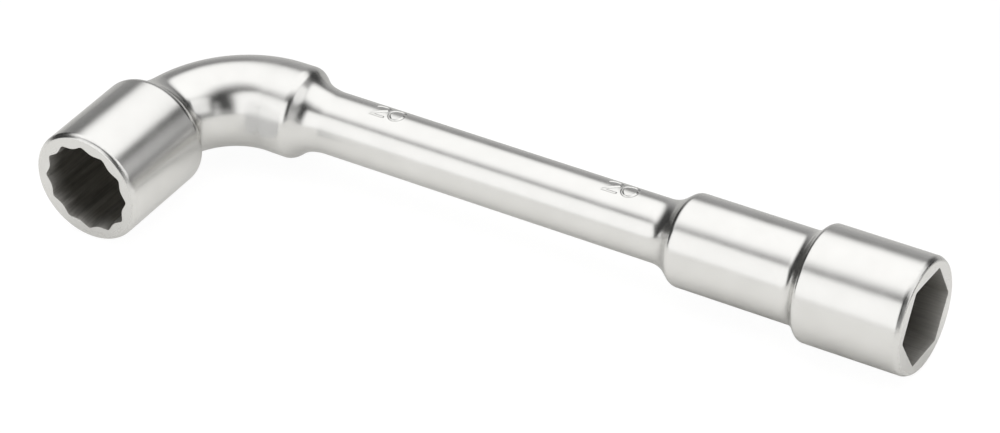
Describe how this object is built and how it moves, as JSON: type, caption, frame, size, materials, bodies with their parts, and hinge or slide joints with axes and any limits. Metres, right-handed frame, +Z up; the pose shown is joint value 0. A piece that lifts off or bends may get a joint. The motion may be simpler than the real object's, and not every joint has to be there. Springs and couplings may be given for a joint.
{
  "type": "angled socket wrench",
  "caption": "L-shaped socket wrench for hexagon nuts: deep 6-point socket on the long arm, bored-through 12-point socket on the short arm, round shank between.",
  "frame": {"origin": "on the surface the wrench lies on, below the middle of its outline's length and width", "axes": "+X along the long arm towards the 6-point mouth, -Y along the short arm towards the 12-point mouth, +Z up with both arms level"},
  "size_m": [0.213, 0.0666, 0.0295],
  "materials": {
    "chrome_plate": "bright chrome plate over polished forged steel, with ground mouth faces and dark broached sockets"
  },
  "bodies": {
    "root": {"six_point_socket": "chrome_plate", "barrel": "chrome_plate", "shank": "chrome_plate", "elbow": "chrome_plate", "twelve_point_socket": "chrome_plate"}
  },
  "joints": []
}
